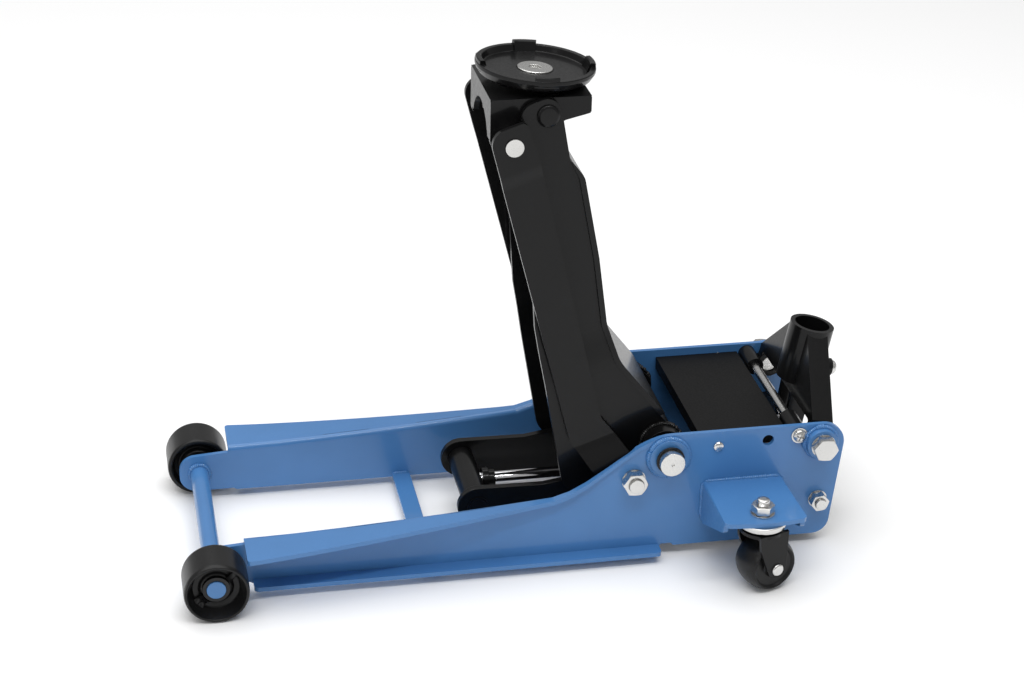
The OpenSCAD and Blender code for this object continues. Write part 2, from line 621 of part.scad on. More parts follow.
// ---------- saddle carrier and saddle ----------
module saddle_frame() translate([saddle_x, 0, saddle_z]) rotate([0, saddle_tilt, 0]) children();
module carrier_side() difference() {
  near_slab(carrier_half - carrier_t, carrier_half) union() {
    polygon(rounded([[carrier_x0, carrier_top, 3], [carrier_x1, carrier_top, 2],
      [carrier_x1, carrier_top - 18, 3], [tip_p[0] + 19, tip_p[1] - 8, 8],
      [link_top_p[0] + 13, link_top_p[1] - 14, 6], [carrier_x0, link_top_p[1] - 2, 0]]));
    translate(link_top_p) circle(r = 20);
    translate(tip_p) circle(r = 15);
  }
  near_rod(tip_p, tip_pin_r + run_gap, carrier_half - 10, carrier_half + 5);
  near_rod(link_top_p, link_pin_r + seat_gap, carrier_half - 10, carrier_half + 5);
}
module saddle_carrier() color(black) place() {
  both_sides() carrier_side();
  difference() {
    union() {
      translate([carrier_x0, -carrier_half + 1, carrier_top - carrier_t])
        cube([carrier_x1 - carrier_x0, 2 * carrier_half - 2, carrier_t]);
      translate([saddle_x, 0, carrier_top - carrier_t - 6]) cylinder(r = 18, h = 7);
      difference() {
        translate([carrier_x0, -carrier_half + 1, link_top_p[1] - 2])
          cube([carrier_t, 2 * carrier_half - 2, carrier_top - link_top_p[1]]);
        translate([carrier_x0 - 1, 0, carrier_top - 60]) rotate([0, 90, 0])
          cylinder(r = carrier_half - 12, h = carrier_t + 2);
      }
    }
    saddle_frame() translate([0, 0, -40]) cylinder(r = 8 + seat_gap, h = 60);
  }
}
module link_pins() color(zinc) place() both_sides() {
  near_rod(link_top_p, link_pin_r, carrier_half - carrier_t - 2, link_top + link_t + 2);
  near_rod(link_top_p, link_pin_r + 2.6, carrier_half + 0.1, link_top - 0.4);
  near_rod(link_top_p, link_pin_r + 0.4, link_top + link_t + 0.3, link_top + link_t + 2);
}
module saddle_bolt() color(zinc) place() saddle_frame() {
  drop = saddle_z - carrier_top + 12 + 1.2;
  translate([0, 0, -drop - 3]) cylinder(r = 8, h = drop + 6);
  difference() {
    translate([0, 0, floor_t - 5.2]) rotate_extrude()
      polygon([[0, 0], [13, 0], [18.4, 4.4], [18.4, 6.2], [17.6, 6.8], [0, 6.8]]);
    translate([0, 0, floor_t - 1]) cylinder(d = 14, h = 6, $fn = 6);
  }
  translate([0, 0, -drop - 10]) cylinder(d = 24, h = 10, $fn = 6);
}
module saddle() color(black) place() saddle_frame() difference() {
  union() {
    rotate_extrude($fn = 96) polygon(rounded([[8 + run_gap, 0, 0], [saddle_r - 9, 0, 2],
      [saddle_r - 4, 3, 3], [saddle_r, saddle_h - 4, 3], [saddle_r, saddle_h, 1.2],
      [saddle_r - 5.5, saddle_h, 1.2], [saddle_r - 8, floor_t, 1.5], [8 + run_gap, floor_t, 0]]));
    for (a = [0:90:270]) rotate([0, 0, a - 12]) rotate_extrude(angle = 24)
      polygon([[saddle_r - 10, floor_t - 1], [saddle_r - 1.5, floor_t - 1], [saddle_r - 0.6, saddle_h - 2],
        [saddle_r - 0.6, saddle_h + tab_h - 1], [saddle_r - 1.6, saddle_h + tab_h],
        [saddle_r - 5.5, saddle_h + tab_h], [saddle_r - 6.5, saddle_h + tab_h - 1]]);
  }
  translate([0, 0, floor_t - 5.3]) rotate_extrude()
    polygon([[0, 0], [13.2, 0], [18.8, 4.6], [18.8, 9], [0, 9]]);
}

// ---------- ram and crosshead ----------
// The crank pins rise and fall as they swing, so each runs in a tall slot of its ram plate
slot_r = crank_pin_r + 2.4;
slot_z0 = main_p[1] - crank_r;
eye_c = [crank_p[0], (slot_z0 + crank_p[1]) / 2];
eye_r = 28.5;
module ram_rod() color(chrome) place() {
  along_x(crosshead_x + crosshead_r - 6, piston_x, ram_r);
  along_x(piston_x, piston_x + piston_l, bore_r - run_gap);
}
module ram_collar() color(black) place() difference() {
  union() {
    along_x(collar_x0, collar_x0 + 7, 13);
    along_x(collar_x0 + 7, collar_x0 + collar_l, 10.5);
  }
  along_x(collar_x0 - 1, collar_x0 + collar_l + 1, ram_r + seat_gap);
}
module crosshead_bar() color(black) place() {
  bar_p = [crosshead_x, ram_z];
  difference() {
    union() {
      cross_rod(bar_p, crosshead_r, plate_in - seat_gap);
      cross_rod(bar_p, 9, plate_in + plate_t + 1.8);
    }
    along_x(crosshead_x + crosshead_r - 7, crosshead_x + 40, ram_r + seat_gap);
  }
  both_sides() near_ring(bar_p, 8, 11.5, plate_in + plate_t + seat_gap, plate_in + plate_t + 1.2);
}
module ram_plate() difference() {
  near_slab(plate_in, plate_in + plate_t) union() {
    translate([crosshead_x, ram_z]) circle(r = 22);
    translate(eye_c) circle(r = eye_r);
    polygon([[crosshead_x, ram_z - 22], [eye_c[0], eye_c[1] - eye_r],
      [eye_c[0], eye_c[1] + eye_r], [crosshead_x + 72, ram_z + 21], [crosshead_x, ram_z + 22]]);
  }
  near_rod([crosshead_x, ram_z], 9 + seat_gap, plate_in - 1, plate_in + plate_t + 1);
  for (z = [slot_z0, crank_p[1]]) near_rod([crank_p[0], z], slot_r, plate_in - 1, plate_in + plate_t + 1);
  translate([crank_p[0] - slot_r, -plate_in - plate_t - 1, slot_z0])
    cube([2 * slot_r, plate_t + 2, crank_p[1] - slot_z0]);
}
module ram_plate_near() color(black) place() ram_plate();
module ram_plate_far() color(black) place() far_side() ram_plate();

// ---------- handle socket ----------
module handle_frame() translate([handle_x, 0, handle_z]) rotate([0, handle_lean, 0]) children();
tube_z0 = 26;
clamp_z = socket_len * 0.455;
clamp_x = socket_r + 10;
module handle_socket() color(black) place() {
  wing_t = 24;
  difference() {
    union() {
      handle_frame() {
        translate([0, 0, tube_z0]) cylinder(r = socket_r, h = socket_len - tube_z0);
        translate([-wing_t / 2, 0, 0]) rotate([90, 0, 90]) linear_extrude(wing_t)
          polygon([[-cheek_out, -8], [-cheek_out, 20], [-socket_r + 6, socket_len - 1.5],
            [socket_r - 6, socket_len - 1.5], [cheek_out, 20], [cheek_out, -8], [cheek_in, -8], [cheek_in, 14],
            [30, tube_z0 + 6], [-30, tube_z0 + 6], [-cheek_in, 14], [-cheek_in, -8]]);
        translate([-wing_t / 2, 0, 0]) rotate([90, 0, 90]) linear_extrude(5)
          polygon([[-cheek_out + 1, 15], [-socket_r + 6, socket_len - 4], [socket_r - 6, socket_len - 4],
            [cheek_out - 1, 15]]);
        translate([socket_bore_r - 1, 0, clamp_z]) rotate([0, 90, 0])
          cylinder(r = 10, h = clamp_x - socket_bore_r + 1);
      }
      both_sides() near_rod(handle_p, 15, cheek_in - 1, cheek_out + 0.5);
      both_sides() near_slab(13, 19) polygon([roller_p + [-9, -9], roller_p + [9, -9],
        handle_p + (tube_z0 + 12) * lean_d + [12, 0], handle_p + (tube_z0 + 12) * lean_d + [-12, 0],
        roller_p + [-9, 4]]);
    }
    handle_frame() translate([0, 0, tube_z0 + 2]) cylinder(r = socket_bore_r, h = socket_len);
    handle_frame() translate([0, 0, clamp_z]) rotate([0, 90, 0]) cylinder(r = 5 + seat_gap, h = clamp_x + 20);
    both_sides() near_rod(handle_p, 9 + run_gap, cheek_in - 2, cheek_out + 2);
    cross_rod(roller_p, 4 + seat_gap, 25);
  }
}
module clamp_screw() color(zinc) place() handle_frame() translate([0, 0, clamp_z]) rotate([0, 90, 0])
  rotate_extrude() polygon(concat([[0, socket_bore_r + 1], [5, socket_bore_r + 1], [5, clamp_x + 0.3],
    [8, clamp_x + 0.3]], [for (a = [0:15:75]) [8 * cos(a), clamp_x + 2.3 + 5 * sin(a)]], [[0, clamp_x + 7.3]]));
module pump_roller() color(zinc) place() {
  cross_rod(roller_p, 4, 21);
  difference() {
    cross_rod(roller_p, roller_r, 12.5);
    cross_rod(roller_p, 4 + run_gap, 14);
  }
}

// ---------- casters ----------
module kingpin_pos() translate([kingpin_x, -kingpin_y, 0]) children();
// A caster as it stands, swivelled about its kingpin
module swivelled() kingpin_pos() rotate([0, 0, caster_turn]) children();
module kingpins() color(zinc) place() both_sides() kingpin_pos() {
  translate([0, 0, fork_z1 - fork_t - 5]) cylinder(r = 7, h = bracket_z + 18 - fork_z1 + fork_t + 5);
  translate([0, 0, bracket_z + 2]) difference() {
    cylinder(d = 22 / cos(30), h = 11, $fn = 6);
    translate([0, 0, -1]) cylinder(r = 6.5, h = 14);
  }
  translate([0, 0, bracket_z + seat_gap]) cylinder(r = 13, h = 2 - seat_gap);
  translate([0, 0, fork_z1 - fork_t - 8]) cylinder(r = 11, h = 7.4);
}
module swivel_bearings() color(zinc) place() both_sides() kingpin_pos()
  translate([0, 0, bearing_z1 - bearing_h]) rotate_extrude($fn = 96)
    polygon(rounded([[7 + seat_gap, 0, 0], [20, 0, 2], [25, 3, 1.5], [26, bearing_h - 3, 1],
      [26, bearing_h, 1], [7 + seat_gap, bearing_h, 0]]));
module caster_fork() {
  leg_y = leg_in + fork_t;
  swivelled() difference() {
    union() {
      translate([0, 0, fork_z1 - fork_t]) cylinder(r = 24, h = fork_t);
      translate([-16, -leg_y, fork_z1 - fork_t]) cube([32, 2 * leg_y, fork_t]);
      for (s = [-1, 1]) translate([0, s * (leg_in + fork_t / 2) + fork_t / 2, 0]) rotate([90, 0, 0])
        linear_extrude(fork_t) union() {
          polygon(rounded([[-16, fork_z1, 0], [20, fork_z1, 0], [caster_trail + 11, caster_r + 4, 10],
            [caster_trail + 8, caster_r - 10, 7], [caster_trail - 8, caster_r - 10, 7],
            [-14, fork_z1 - 18, 14]]));
        }
    }
    translate([0, 0, fork_z1 - fork_t - 1]) cylinder(r = 7 + run_gap, h = fork_t + 2);
    translate([caster_trail, leg_y + 1, caster_r]) rotate([90, 0, 0])
      cylinder(r = 5 + seat_gap, h = 2 * leg_y + 2);
  }
}
module caster_fork_near() color(black) place() caster_fork();
module caster_fork_far() color(black) place() far_side() caster_fork();
module caster_wheel() swivelled() translate([caster_trail, caster_w / 2, caster_r]) rotate([90, 0, 0])
  rotate_extrude($fn = 96) polygon(concat(
    [[5 + run_gap, 0], [10, 0], [12, 3], [caster_r - 8, 3], [caster_r - 6, 0.5]],
    [for (i = [0:12]) let (a = -60 + 10 * i)
      [caster_r - 4.5 + 4.5 * (cos(a) - cos(60)) / (1 - cos(60)),
       caster_w / 2 + (caster_w / 2) * sin(a) / sin(60)]],
    [[caster_r - 6, caster_w - 0.5], [caster_r - 8, caster_w - 3], [12, caster_w - 3],
     [10, caster_w], [5 + run_gap, caster_w]]));
module caster_wheel_near() color(poly) place() caster_wheel();
module caster_wheel_far() color(poly) place() far_side() caster_wheel();
module caster_axle() swivelled() translate([caster_trail, 0, caster_r]) rotate([90, 0, 0]) {
  half = leg_in + fork_t;
  translate([0, 0, -half - 1]) cylinder(r = 5, h = 2 * half + 2);
  for (s = [0, 1]) rotate([180 * s, 0, 0]) translate([0, 0, half + seat_gap]) rotate_extrude()
    polygon([[0, 0], [6.8, 0], [6.8, 1.5], [5.6, 2.8], [0, 3]]);
}
module caster_axle_near() color(zinc) place() caster_axle();
module caster_axle_far() color(zinc) place() far_side() caster_axle();

side_frame_near();
side_frame_far();
pivot_bosses();
front_axle();
axle_spacers();
axle_retainers();
cross_strap();
caster_bracket_near();
caster_bracket_far();
main_pivot_pin();
pivot_circlips();
link_bolts();
link_nuts();
handle_bolts();
base_bolts();
base_nuts();
cover_screws();
tie_screws();
tie_bar();
tie_rod();
top_cover();
pump_block();
cylinder_tube();
gland_nut();
reservoir_tube();
filler_plug();
release_valve();
pump_plunger();
pump_spring();
front_wheel_near();
front_wheel_far();
arm_wall_near();
arm_wall_far();
arm_back();
arm_sleeve();
crank_pins();
arm_tip_pin();
level_link_near();
level_link_far();
saddle_carrier();
link_pins();
saddle_bolt();
saddle();
ram_rod();
ram_collar();
crosshead_bar();
ram_plate_near();
ram_plate_far();
handle_socket();
clamp_screw();
pump_roller();
kingpins();
swivel_bearings();
caster_fork_near();
caster_fork_far();
caster_wheel_near();
caster_wheel_far();
caster_axle_near();
caster_axle_far();
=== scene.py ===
# %% [markdown]
# # A low trolley jack, raised
# A trolley jack is a pair of pressed steel side frames on wheels, with a long lifting arm
# that a hydraulic ram swings up. The exact pieces come from the CAD model. This file gives
# them soft edges, paint, plating and plastic, and sets up the studio they stand in.
# Every length in Blender is in metres, and small sizes are written in millimetres first.

# %% Load the model
import bpy, bmesh, json, math, random
from mathutils import Vector, Matrix


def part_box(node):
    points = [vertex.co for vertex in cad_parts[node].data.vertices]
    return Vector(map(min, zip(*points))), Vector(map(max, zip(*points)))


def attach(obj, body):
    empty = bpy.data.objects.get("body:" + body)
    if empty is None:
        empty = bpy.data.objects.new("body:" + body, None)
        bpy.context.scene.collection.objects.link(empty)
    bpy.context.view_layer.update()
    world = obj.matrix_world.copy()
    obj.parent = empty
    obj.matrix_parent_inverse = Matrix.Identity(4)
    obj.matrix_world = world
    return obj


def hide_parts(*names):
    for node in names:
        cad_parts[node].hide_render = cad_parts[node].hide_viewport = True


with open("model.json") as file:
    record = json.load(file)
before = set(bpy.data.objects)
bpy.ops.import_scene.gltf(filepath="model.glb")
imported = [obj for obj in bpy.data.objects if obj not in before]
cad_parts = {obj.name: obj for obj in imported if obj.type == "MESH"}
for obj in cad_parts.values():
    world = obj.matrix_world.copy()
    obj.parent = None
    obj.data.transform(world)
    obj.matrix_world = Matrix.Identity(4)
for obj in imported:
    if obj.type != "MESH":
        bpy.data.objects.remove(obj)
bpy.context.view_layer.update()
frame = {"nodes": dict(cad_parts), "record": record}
MM = 0.001
bodies = frame["record"]["behaviour"]["bodies"]
body_of_node = {node: body for body, nodes in bodies.items() for node in nodes}
slot_of_node = {part["node"]: part["material_slot"] for part in frame["record"]["subparts"]}

# %% [markdown]
# ## Camera
# The jack is seen from the front left of its near side, a little above it, with a long lens
# so that its long frames stay nearly parallel. Azimuth and elevation say where the camera
# stands, and a small roll tips it as a hand-held camera would be.

# %% Camera
camera_data = bpy.data.cameras.new("camera")
camera = bpy.data.objects.new("camera", camera_data)
bpy.context.scene.collection.objects.link(camera)
bpy.context.scene.camera = camera
azimuth, elevation, roll = math.radians(-11.62), math.radians(26.15), math.radians(1.18)
distance = 2.4305
back = Vector((math.sin(azimuth) * math.cos(elevation),
               -math.cos(azimuth) * math.cos(elevation),
               math.sin(elevation)))
right = Vector((math.cos(azimuth), math.sin(azimuth), 0))
up = back.cross(right)
right_rolled = right * math.cos(roll) + up * math.sin(roll)
up_rolled = up * math.cos(roll) - right * math.sin(roll)
aim = Vector((-0.00305, 0, 0.2209))
turn = Matrix((right_rolled, up_rolled, back)).transposed().to_4x4()
camera.matrix_world = Matrix.Translation(aim + back * distance) @ turn
camera_data.lens = 79.55
camera_data.sensor_width = 36
camera_data.clip_end = 50
print("camera at", tuple(round(v, 3) for v in camera.location))

# %% [markdown]
# ## Shared shader effects
# Three effects turn up in most of the finishes, so each is a node group with named inputs
# and outputs, built once. Grain is the fine unevenness of a coating. Wear finds the sharp
# edges, where paint rubs thin. Dust settles on faces that look up.

# %% Helpers for node groups
def new_group(name, inputs, outputs):
    group = bpy.data.node_groups.new(name, "ShaderNodeTree")
    for label, kind, value in inputs:
        socket = group.interface.new_socket(label, in_out="INPUT", socket_type=kind)
        socket.default_value = value
    for label, kind in outputs:
        group.interface.new_socket(label, in_out="OUTPUT", socket_type=kind)
    return group, group.nodes.new("NodeGroupInput"), group.nodes.new("NodeGroupOutput")


def feed(tree, socket, value):
    """Gives a socket a plain number, or links it to another node's output."""
    if isinstance(value, (int, float)):
        socket.default_value = value
    else:
        tree.links.new(value, socket)


def math_node(tree, operation, a, b, clamp=False):
    node = tree.nodes.new("ShaderNodeMath")
    node.operation = operation
    node.use_clamp = clamp
    feed(tree, node.inputs[0], a)
    feed(tree, node.inputs[1], b)
    return node.outputs[0]


def object_noise(tree, size_mm, detail):
    """Noise that stays with the object, with features about size_mm across."""
    place = tree.nodes.new("ShaderNodeTexCoord")
    noise = tree.nodes.new("ShaderNodeTexNoise")
    tree.links.new(place.outputs["Object"], noise.inputs["Vector"])
    feed(tree, noise.inputs["Scale"], math_node(tree, "DIVIDE", 1000.0, size_mm))
    feed(tree, noise.inputs["Detail"], detail)
    return noise.outputs["Fac"]


def spread_out(tree, value, low, high):
    """Stretches the range low to high to a new one, and returns the node."""
    spread = tree.nodes.new("ShaderNodeMapRange")
    spread.inputs["From Min"].default_value = low
    spread.inputs["From Max"].default_value = high
    tree.links.new(value, spread.inputs["Value"])
    return spread


def group_node(tree, group, **values):
    """Places a node group and fills its inputs, with _ for a space in a name."""
    node = tree.nodes.new("ShaderNodeGroup")
    node.node_tree = group
    for label, value in values.items():
        node.inputs[label.replace("_", " ")].default_value = value
    return node


# %% Grain: a fine, even unevenness in object space
def make_grain():
    group, given, result = new_group(
        "Grain",
        [("Size mm", "NodeSocketFloat", 1.0), ("Detail", "NodeSocketFloat", 3.0),
         ("Low", "NodeSocketFloat", 0.4), ("High", "NodeSocketFloat", 0.5)],
        [("Height", "NodeSocketFloat"), ("Value", "NodeSocketFloat")])
    noise = object_noise(group, given.outputs["Size mm"], given.outputs["Detail"])
    spread = spread_out(group, noise, 0.3, 0.7)
    group.links.new(given.outputs["Low"], spread.inputs["To Min"])
    group.links.new(given.outputs["High"], spread.inputs["To Max"])
    group.links.new(noise, result.inputs["Height"])
    group.links.new(spread.outputs["Result"], result.inputs["Value"])
    return group


grain_group = make_grain()
print("grain group", len(grain_group.nodes), "nodes")


# %% Wear: a mask along sharp edges, broken up by noise
def make_wear():
    group, given, result = new_group(
        "Edge wear",
        [("Width mm", "NodeSocketFloat", 0.8), ("Amount", "NodeSocketFloat", 0.5),
         ("Patch mm", "NodeSocketFloat", 12.0)],
        [("Mask", "NodeSocketFloat")])
    bevel = group.nodes.new("ShaderNodeBevel")
    bevel.samples = 4
    width = math_node(group, "MULTIPLY", given.outputs["Width mm"], MM)
    group.links.new(width, bevel.inputs["Radius"])
    surface = group.nodes.new("ShaderNodeNewGeometry")
    dot = group.nodes.new("ShaderNodeVectorMath")
    dot.operation = "DOT_PRODUCT"
    group.links.new(bevel.outputs["Normal"], dot.inputs[0])
    group.links.new(surface.outputs["Normal"], dot.inputs[1])
    away = math_node(group, "SUBTRACT", 1.0, dot.outputs["Value"])
    edge = math_node(group, "MULTIPLY", away, 9.0, True)
    patches = spread_out(group, object_noise(group, given.outputs["Patch mm"], 6), 0.5, 0.62)
    worn = math_node(group, "MULTIPLY", edge, patches.outputs["Result"])
    mask = math_node(group, "MULTIPLY", worn, given.outputs["Amount"], True)
    group.links.new(mask, result.inputs["Mask"])
    return group


wear_group = make_wear()
print("wear group", len(wear_group.nodes), "nodes")


# %% Dust: a mask on faces that look up
def make_dust():
    group, given, result = new_group(
        "Dust",
        [("Amount", "NodeSocketFloat", 0.1), ("Patch mm", "NodeSocketFloat", 40.0)],
        [("Mask", "NodeSocketFloat")])
    surface = group.nodes.new("ShaderNodeNewGeometry")
    split = group.nodes.new("ShaderNodeSeparateXYZ")
    group.links.new(surface.outputs["Normal"], split.inputs[0])
    upward = math_node(group, "POWER", math_node(group, "MAXIMUM", split.outputs["Z"], 0.0), 3.0)
    noise = object_noise(group, given.outputs["Patch mm"], 5)
    settled = math_node(group, "MULTIPLY", upward, noise)
    mask = math_node(group, "MULTIPLY", settled, given.outputs["Amount"], True)
    group.links.new(mask, result.inputs["Mask"])
    return group


dust_group = make_dust()
print("dust group", len(dust_group.nodes), "nodes")


# %% [markdown]
# ## Finishes
# The jack has seven finishes: blue powder coat on the frames, black paint on the moving
# parts, flat black on the top cover, bright zinc on the bolts, ground chrome on the rods,
# black oxide on the clips and black nylon on the wheels. All of them are one recipe with
# different values: a coat, its fine grain, a little wear and dust, so one function builds
# them all.

# %% The recipe for a finish
grain_spread = 0.06
patch_mm = 55
dust_color = (0.42, 0.40, 0.37, 1)


def make_finish(name, color, under, roughness, metallic=0.0, coat=0.0, coat_roughness=0.1,
                bump=0.2, grain_mm=1.0, wear=0.0, dust=0.1, shade=0.06, specular=0.5):
    material = bpy.data.materials.new(name)
    material.use_nodes = True
    tree = material.node_tree
    shader = tree.nodes["Principled BSDF"]
    shader.inputs["Coat Weight"].default_value = coat
    shader.inputs["Coat Roughness"].default_value = coat_roughness
    shader.inputs["Specular IOR Level"].default_value = specular

    grain = group_node(tree, grain_group, Size_mm=grain_mm,
                       Low=max(0.02, roughness - grain_spread), High=roughness + grain_spread)
    patches = group_node(tree, grain_group, Size_mm=patch_mm, Low=1 - shade, High=1 + shade)
    worn = group_node(tree, wear_group, Amount=wear)
    settled = group_node(tree, dust_group, Amount=dust)

    tone = tree.nodes.new("ShaderNodeVectorMath")
    tone.operation = "SCALE"
    tone.inputs[0].default_value = color
    tree.links.new(patches.outputs["Value"], tone.inputs["Scale"])
    rubbed = tree.nodes.new("ShaderNodeMix")
    rubbed.data_type = "RGBA"
    tree.links.new(worn.outputs["Mask"], rubbed.inputs["Factor"])
    tree.links.new(tone.outputs["Vector"], rubbed.inputs["A"])
    rubbed.inputs["B"].default_value = (*under, 1)
    dusty = tree.nodes.new("ShaderNodeMix")
    dusty.data_type = "RGBA"
    tree.links.new(settled.outputs["Mask"], dusty.inputs["Factor"])
    tree.links.new(rubbed.outputs["Result"], dusty.inputs["A"])
    dusty.inputs["B"].default_value = dust_color
    tree.links.new(dusty.outputs["Result"], shader.inputs["Base Color"])

    dulled = math_node(tree, "MULTIPLY", settled.outputs["Mask"], 0.5)
    rough = math_node(tree, "ADD", grain.outputs["Value"], dulled, True)
    tree.links.new(rough, shader.inputs["Roughness"])
    if metallic in (0.0, 1.0) and wear == 0:
        shader.inputs["Metallic"].default_value = metallic
    else:
        metal = math_node(tree, "MAXIMUM", worn.outputs["Mask"], metallic)
        tree.links.new(metal, shader.inputs["Metallic"])
    surface = tree.nodes.new("ShaderNodeBump")
    surface.inputs["Strength"].default_value = bump
    surface.inputs["Distance"].default_value = 0.2 * MM
    tree.links.new(grain.outputs["Height"], surface.inputs["Height"])
    tree.links.new(surface.outputs["Normal"], shader.inputs["Normal"])
    return material


# %% The finishes
bare_steel = (0.42, 0.42, 0.41)
worn_black = (0.03, 0.03, 0.03)
finishes = {
    "blue_paint": make_finish(
        "blue powder coat", (0.058, 0.188, 0.435), bare_steel, 0.36, coat=0.55,
        coat_roughness=0.09, bump=0.07, grain_mm=3.0, dust=0.01, shade=0.04, specular=0.3),
    "black_paint": make_finish(
        "black paint", (0.0040, 0.0040, 0.0042), worn_black, 0.34, coat=0.28, bump=0.08,
        grain_mm=3.0, wear=0.1, dust=0.003, shade=0.15, specular=0.1),
    "zinc": make_finish(
        "bright zinc", (0.64, 0.635, 0.62), bare_steel, 0.24, metallic=1.0, bump=0.12,
        grain_mm=0.8, dust=0.01),
    "chrome": make_finish(
        "ground chrome", (0.78, 0.78, 0.8), bare_steel, 0.09, metallic=1.0, bump=0.03,
        grain_mm=0.4, dust=0.0),
    "spring_steel": make_finish(
        "black oxide", (0.02, 0.02, 0.021), (0.2, 0.2, 0.2), 0.36, metallic=0.6, bump=0.15,
        grain_mm=0.8, wear=0.15, dust=0.01),
    "nylon": make_finish(
        "black nylon", (0.0055, 0.0055, 0.0058), worn_black, 0.33, grain_mm=1.2, wear=0.1,
        dust=0.008, shade=0.2, specular=0.3),
}
flat_black = make_finish(
    "flat black sheet", (0.0045, 0.0045, 0.0047), worn_black, 0.5, bump=0.08, grain_mm=2.0,
    wear=0.05, dust=0.003, shade=0.1, specular=0.12)
print("finishes", list(finishes))


# %% [markdown]
# ## Softened copies of the exact pieces
# Real sheet steel and forgings never have knife edges, and an edge only catches light if it
# is a little round. Each CAD piece is copied, its flat triangles are joined back into whole
# faces, and a narrow bevel rounds every edge sharper than a folding crease. Where sheet is
# folded in a press, the outside of the fold gets a wider radius first, through edge weights.
# Each face corner then takes the normal of the largest flat face beside it, so big faces
# stay flat and only the rounded edges pick up highlights.
# The copy then stands for the CAD piece, which stays untouched underneath.

# %% Places on the exact model
def centre(node):
    low, high = (Vector(corner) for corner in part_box(node))
    return (low + high) / 2


axle_x, axle_z = centre("front_axle").x, centre("front_axle").z
pivot_at = centre("main_pivot_pin")
handle_at = centre("handle_bolts")
link_bolt_at = centre("link_nuts")
base_bolt_at = centre("base_nuts")
web_outside = -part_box("caster_bracket_near")[1][1]
web_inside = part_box("cross_strap")[1][1]
print("axle", round(axle_x, 4), "web from", round(web_inside, 4), "to", round(web_outside, 4))


# %% Turn a working mesh into a linked object
def new_piece(name, work):
    mesh = bpy.data.meshes.new(name)
    work.to_mesh(mesh)
    work.free()
    piece = bpy.data.objects.new(name, mesh)
    bpy.context.scene.collection.objects.link(piece)
    return piece


# %% Shading that keeps flat faces flat
same_plane = 0.999995
main_share = 0.3
copy_crease, made_crease, rounded_crease = 16, 40, 52


def flat_areas(work):
    """For each face, the area of the whole flat region that it belongs to."""
    area_of = {}
    for face in work.faces:
        if face in area_of:
            continue
        region, waiting = [face], [face]
        area_of[face] = 0.0
        while waiting:
            here = waiting.pop()
            for edge in here.edges:
                for other in edge.link_faces:
                    if other not in area_of and other.normal.dot(here.normal) > same_plane:
                        area_of[other] = 0.0
                        region.append(other)
                        waiting.append(other)
        total = sum(f.calc_area() for f in region)
        for member in region:
            area_of[member] = total
    return area_of


def even_normals(mesh, crease, rounded_slot=None):
    """Corner normals that follow the largest flat region, and soften only curved runs."""
    work = bmesh.new()
    work.from_mesh(mesh)
    work.normal_update()
    area_of = flat_areas(work)
    limit = math.cos(math.radians(crease))
    round_limit = math.cos(math.radians(rounded_crease))
    normals = []
    for face in work.faces:
        own = face.normal
        soft = face.material_index == rounded_slot
        for corner in face.loops:
            near = []
            for other in corner.vert.link_faces:
                by_rounding = soft or other.material_index == rounded_slot
                least = round_limit if by_rounding else limit
                if other is face or other.normal.dot(own) > least:
                    near.append(other)
            most = max(area_of[other] for other in near)
            total = Vector((0, 0, 0))
            for other in near:
                if area_of[other] > main_share * most:
                    total += other.normal
            normals.append(total.normalized() if total.length > 0.1 else own.copy())
        face.smooth = True
        face.material_index = 0
    work.to_mesh(mesh)
    work.free()
    mesh.normals_split_custom_set(normals)


def shade(piece, slot_name, body):
    piece.data.materials.clear()
    even_normals(piece.data, made_crease)
    piece.data.materials.append(finishes[slot_name])
    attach(piece, body)


# %% Round the edges of one piece
sharp_from = math.radians(30)
same_spot = 0.00001


def add_rounding(piece, width_mm, segments, by_weight=False):
    rounding = piece.modifiers.new("bends" if by_weight else "soft edges", "BEVEL")
    rounding.width = width_mm * MM
    rounding.segments = segments
    rounding.limit_method = "WEIGHT" if by_weight else "ANGLE"
    rounding.angle_limit = sharp_from
    rounding.use_clamp_overlap = not by_weight
    rounding.miter_outer = "MITER_ARC"
    rounding.material = 1


def soft_copy(node, width_mm, bends=None, bend_mm=0):
    mesh = frame["nodes"][node].data.copy()
    for layer in ("custom_normal", "sharp_edge", "sharp_face"):
        if layer in mesh.attributes:
            mesh.attributes.remove(mesh.attributes[layer])
    mesh.materials.clear()
    for _ in ("own faces", "rounded faces"):
        mesh.materials.append(finishes[slot_of_node[node]])
    piece = bpy.data.objects.new("soft_" + node, mesh)
    bpy.context.scene.collection.objects.link(piece)
    work = bmesh.new()
    work.from_mesh(mesh)
    bmesh.ops.remove_doubles(work, verts=work.verts, dist=same_spot)
    bmesh.ops.dissolve_degenerate(work, edges=work.edges, dist=same_spot)
    bmesh.ops.dissolve_limit(work, angle_limit=math.radians(0.3),
                             verts=work.verts, edges=work.edges)
    bmesh.ops.recalc_face_normals(work, faces=work.faces)
    found = 0
    for face in work.faces:
        face.material_index = 0
    if bends:
        weight = work.edges.layers.float.new("bevel_weight_edge")
        for edge in work.edges:
            if len(edge.link_faces) == 2 and bends(edge):
                edge[weight] = 1.0
                found += 1
    work.to_mesh(mesh)
    work.free()
    if found:
        add_rounding(piece, bend_mm, 8, by_weight=True)
    add_rounding(piece, width_mm, 2)
    evaluated = piece.evaluated_get(bpy.context.evaluated_depsgraph_get())
    rounded = bpy.data.meshes.new_from_object(evaluated)
    piece.modifiers.clear()
    piece.data = rounded
    even_normals(rounded, copy_crease, rounded_slot=1)
    rounded.materials.pop(index=1)
    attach(piece, body_of_node[node])
    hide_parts(node)
    return found


